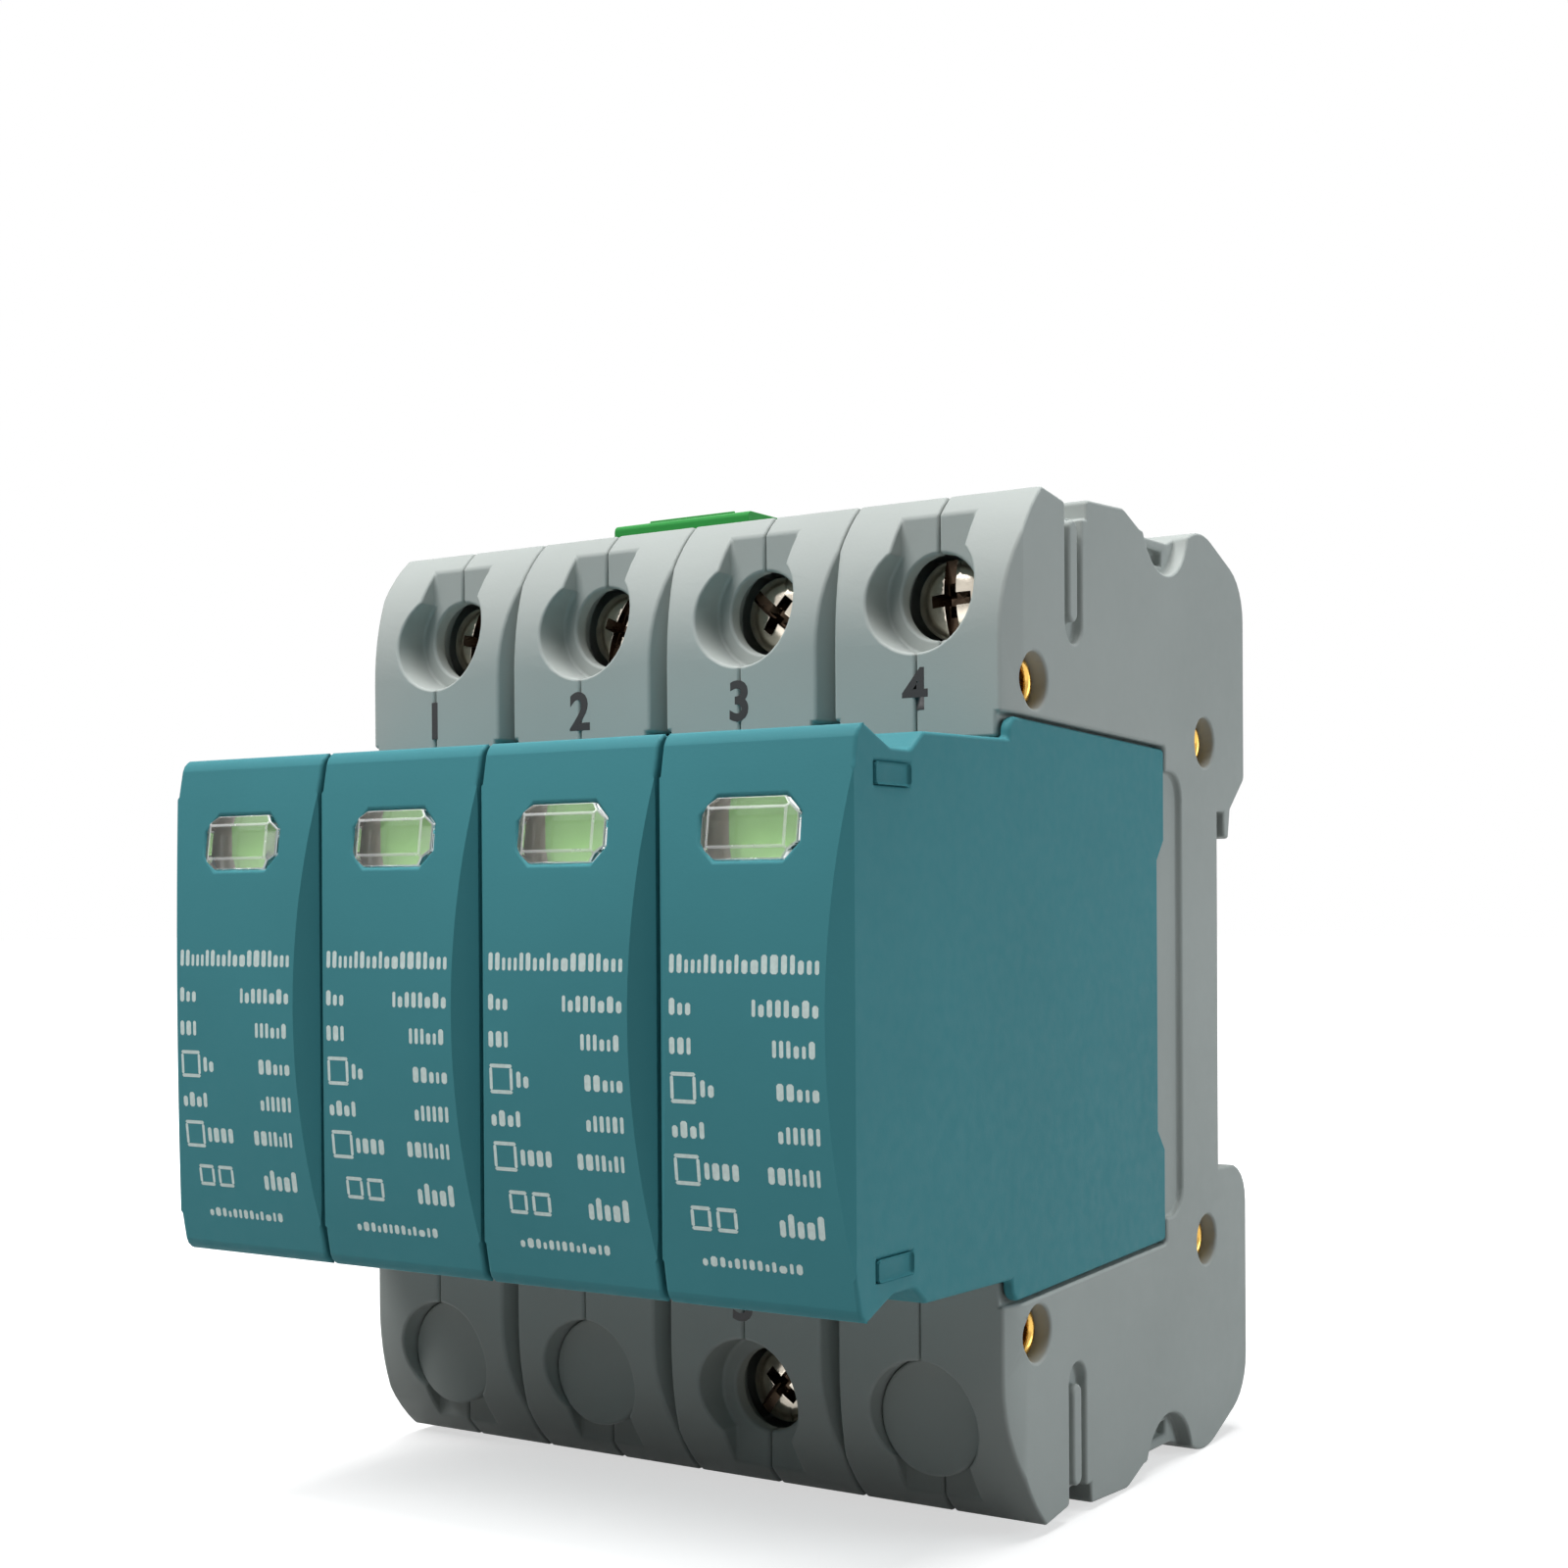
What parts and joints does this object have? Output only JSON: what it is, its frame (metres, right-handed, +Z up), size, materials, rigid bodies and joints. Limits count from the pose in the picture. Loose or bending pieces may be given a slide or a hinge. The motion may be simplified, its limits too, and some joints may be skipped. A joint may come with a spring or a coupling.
{
  "type": "din rail surge arrester",
  "caption": "Plug-in surge arrester for a mounting rail: a stepped base with screw terminals, pull-out varistor modules with status windows, and a signal plug.",
  "frame": {"origin": "middle of the rail seat, on the plane that meets the front of the rail", "axes": "+X along the rail to the viewer's right, +Y from the rail seat into the rail and panel, +Z up; the front is -Y"},
  "size_m": [0.072, 0.0791, 0.0929],
  "materials": {
    "base_plastic": "light grey moulded, fine texture",
    "module_plastic": "teal moulded, fine texture",
    "clear_lens": "clear, polished",
    "flag_green": "satin",
    "carrier_red": "satin",
    "varistor": "coated",
    "contact_metal": "bare copper alloy",
    "plated_steel": "nickel plated",
    "rivet_brass": "drawn",
    "plug_green": "moulded",
    "dark_plastic": "moulded"
  },
  "bodies": {
    "base": {"pole_1_left_shell": "base_plastic", "pole_1_right_shell": "base_plastic", "pole_2_left_shell": "base_plastic", "pole_2_right_shell": "base_plastic", "pole_3_left_shell": "base_plastic", "pole_3_right_shell": "base_plastic", "pole_4_left_shell": "base_plastic", "pole_4_right_shell": "base_plastic", "tubular_rivets": "rivet_brass", "line_contact_1": "contact_metal", "line_contact_2": "contact_metal", "line_contact_3": "contact_metal", "line_contact_4": "contact_metal", "pe_busbar": "contact_metal", "blanking_discs": "base_plastic", "signal_header": "dark_plastic", "microswitch": "dark_plastic"},
    "signal_plug": {"signal_plug": "plug_green", "signal_screws": "plated_steel"},
    "signal_bar": {"signal_bar": "dark_plastic"},
    "din_latch": {"din_latch": "dark_plastic"},
    "pe_screw": {"pe_screw": "plated_steel"},
    "pe_clamp": {"pe_clamp": "plated_steel"},
    "line_screw_1": {"line_screw_1": "plated_steel"},
    "line_clamp_1": {"line_clamp_1": "plated_steel"},
    "module_1": {"module_1_case": "module_plastic", "module_1_back": "module_plastic", "module_1_lens": "clear_lens", "module_1_carrier": "carrier_red", "module_1_varistor": "varistor", "module_1_blades": "contact_metal"},
    "flag_1": {"module_1_flag": "flag_green"},
    "line_screw_2": {"line_screw_2": "plated_steel"},
    "line_clamp_2": {"line_clamp_2": "plated_steel"},
    "module_2": {"module_2_case": "module_plastic", "module_2_back": "module_plastic", "module_2_lens": "clear_lens", "module_2_carrier": "carrier_red", "module_2_varistor": "varistor", "module_2_blades": "contact_metal"},
    "flag_2": {"module_2_flag": "flag_green"},
    "line_screw_3": {"line_screw_3": "plated_steel"},
    "line_clamp_3": {"line_clamp_3": "plated_steel"},
    "module_3": {"module_3_case": "module_plastic", "module_3_back": "module_plastic", "module_3_lens": "clear_lens", "module_3_carrier": "carrier_red", "module_3_varistor": "varistor", "module_3_blades": "contact_metal"},
    "flag_3": {"module_3_flag": "flag_green"},
    "line_screw_4": {"line_screw_4": "plated_steel"},
    "line_clamp_4": {"line_clamp_4": "plated_steel"},
    "module_4": {"module_4_case": "module_plastic", "module_4_back": "module_plastic", "module_4_lens": "clear_lens", "module_4_carrier": "carrier_red", "module_4_varistor": "varistor", "module_4_blades": "contact_metal"},
    "flag_4": {"module_4_flag": "flag_green"}
  },
  "joints": [
    {"name": "module_1_pull", "type": "slide", "parent": "base", "child": "module_1", "axis": [0, -1, 0], "range_m": [0, 0.06]},
    {"name": "flag_1_drop", "type": "slide", "parent": "module_1", "child": "flag_1", "axis": [0, 0, -1], "range_m": [0, 0.0065]},
    {"name": "module_2_pull", "type": "slide", "parent": "base", "child": "module_2", "axis": [0, -1, 0], "range_m": [0, 0.06]},
    {"name": "flag_2_drop", "type": "slide", "parent": "module_2", "child": "flag_2", "axis": [0, 0, -1], "range_m": [0, 0.0065]},
    {"name": "module_3_pull", "type": "slide", "parent": "base", "child": "module_3", "axis": [0, -1, 0], "range_m": [0, 0.06]},
    {"name": "flag_3_drop", "type": "slide", "parent": "module_3", "child": "flag_3", "axis": [0, 0, -1], "range_m": [0, 0.0065]},
    {"name": "module_4_pull", "type": "slide", "parent": "base", "child": "module_4", "axis": [0, -1, 0], "range_m": [0, 0.06]},
    {"name": "flag_4_drop", "type": "slide", "parent": "module_4", "child": "flag_4", "axis": [0, 0, -1], "range_m": [0, 0.0065]},
    {"name": "line_1_screw_turn", "type": "hinge", "parent": "base", "child": "line_screw_1", "pos_m": [-0.027, -0.036, 0.0353], "axis": [0, 1, 0], "range_deg": [0, 2520]},
    {"name": "line_1_clamp_close", "type": "slide", "parent": "base", "child": "line_clamp_1", "axis": [0, -1, 0], "range_m": [0, 0.0056]},
    {"name": "line_2_screw_turn", "type": "hinge", "parent": "base", "child": "line_screw_2", "pos_m": [-0.009, -0.036, 0.0353], "axis": [0, 1, 0], "range_deg": [0, 2520]},
    {"name": "line_2_clamp_close", "type": "slide", "parent": "base", "child": "line_clamp_2", "axis": [0, -1, 0], "range_m": [0, 0.0056]},
    {"name": "line_3_screw_turn", "type": "hinge", "parent": "base", "child": "line_screw_3", "pos_m": [0.009, -0.036, 0.0353], "axis": [0, 1, 0], "range_deg": [0, 2520]},
    {"name": "line_3_clamp_close", "type": "slide", "parent": "base", "child": "line_clamp_3", "axis": [0, -1, 0], "range_m": [0, 0.0056]},
    {"name": "line_4_screw_turn", "type": "hinge", "parent": "base", "child": "line_screw_4", "pos_m": [0.027, -0.036, 0.0353], "axis": [0, 1, 0], "range_deg": [0, 2520]},
    {"name": "line_4_clamp_close", "type": "slide", "parent": "base", "child": "line_clamp_4", "axis": [0, -1, 0], "range_m": [0, 0.0056]},
    {"name": "pe_screw_turn", "type": "hinge", "parent": "base", "child": "pe_screw", "pos_m": [0.009, -0.036, -0.0353], "axis": [0, 1, 0], "range_deg": [0, 2520]},
    {"name": "pe_clamp_close", "type": "slide", "parent": "base", "child": "pe_clamp", "axis": [0, -1, 0], "range_m": [0, 0.0056]},
    {"name": "latch_pull", "type": "slide", "parent": "base", "child": "din_latch", "axis": [0, 0, -1], "range_m": [0, 0.0026], "stiffness_N_per_m": 1500, "springref_m": -0.002},
    {"name": "signal_plug_pull", "type": "slide", "parent": "base", "child": "signal_plug", "axis": [0, 0, 1], "range_m": [0, 0.008]},
    {"name": "signal_bar_push", "type": "slide", "parent": "base", "child": "signal_bar", "axis": [0, 1, 0], "range_m": [0, 0.0025], "stiffness_N_per_m": 200, "springref_m": -0.002}
  ],
  "couplings": [
    {"joint": "line_1_screw_turn", "follows": "line_1_clamp_close", "rad_per_m": 7854},
    {"joint": "line_2_screw_turn", "follows": "line_2_clamp_close", "rad_per_m": 7854},
    {"joint": "line_3_screw_turn", "follows": "line_3_clamp_close", "rad_per_m": 7854},
    {"joint": "line_4_screw_turn", "follows": "line_4_clamp_close", "rad_per_m": 7854},
    {"joint": "pe_screw_turn", "follows": "pe_clamp_close", "rad_per_m": 7854}
  ]
}
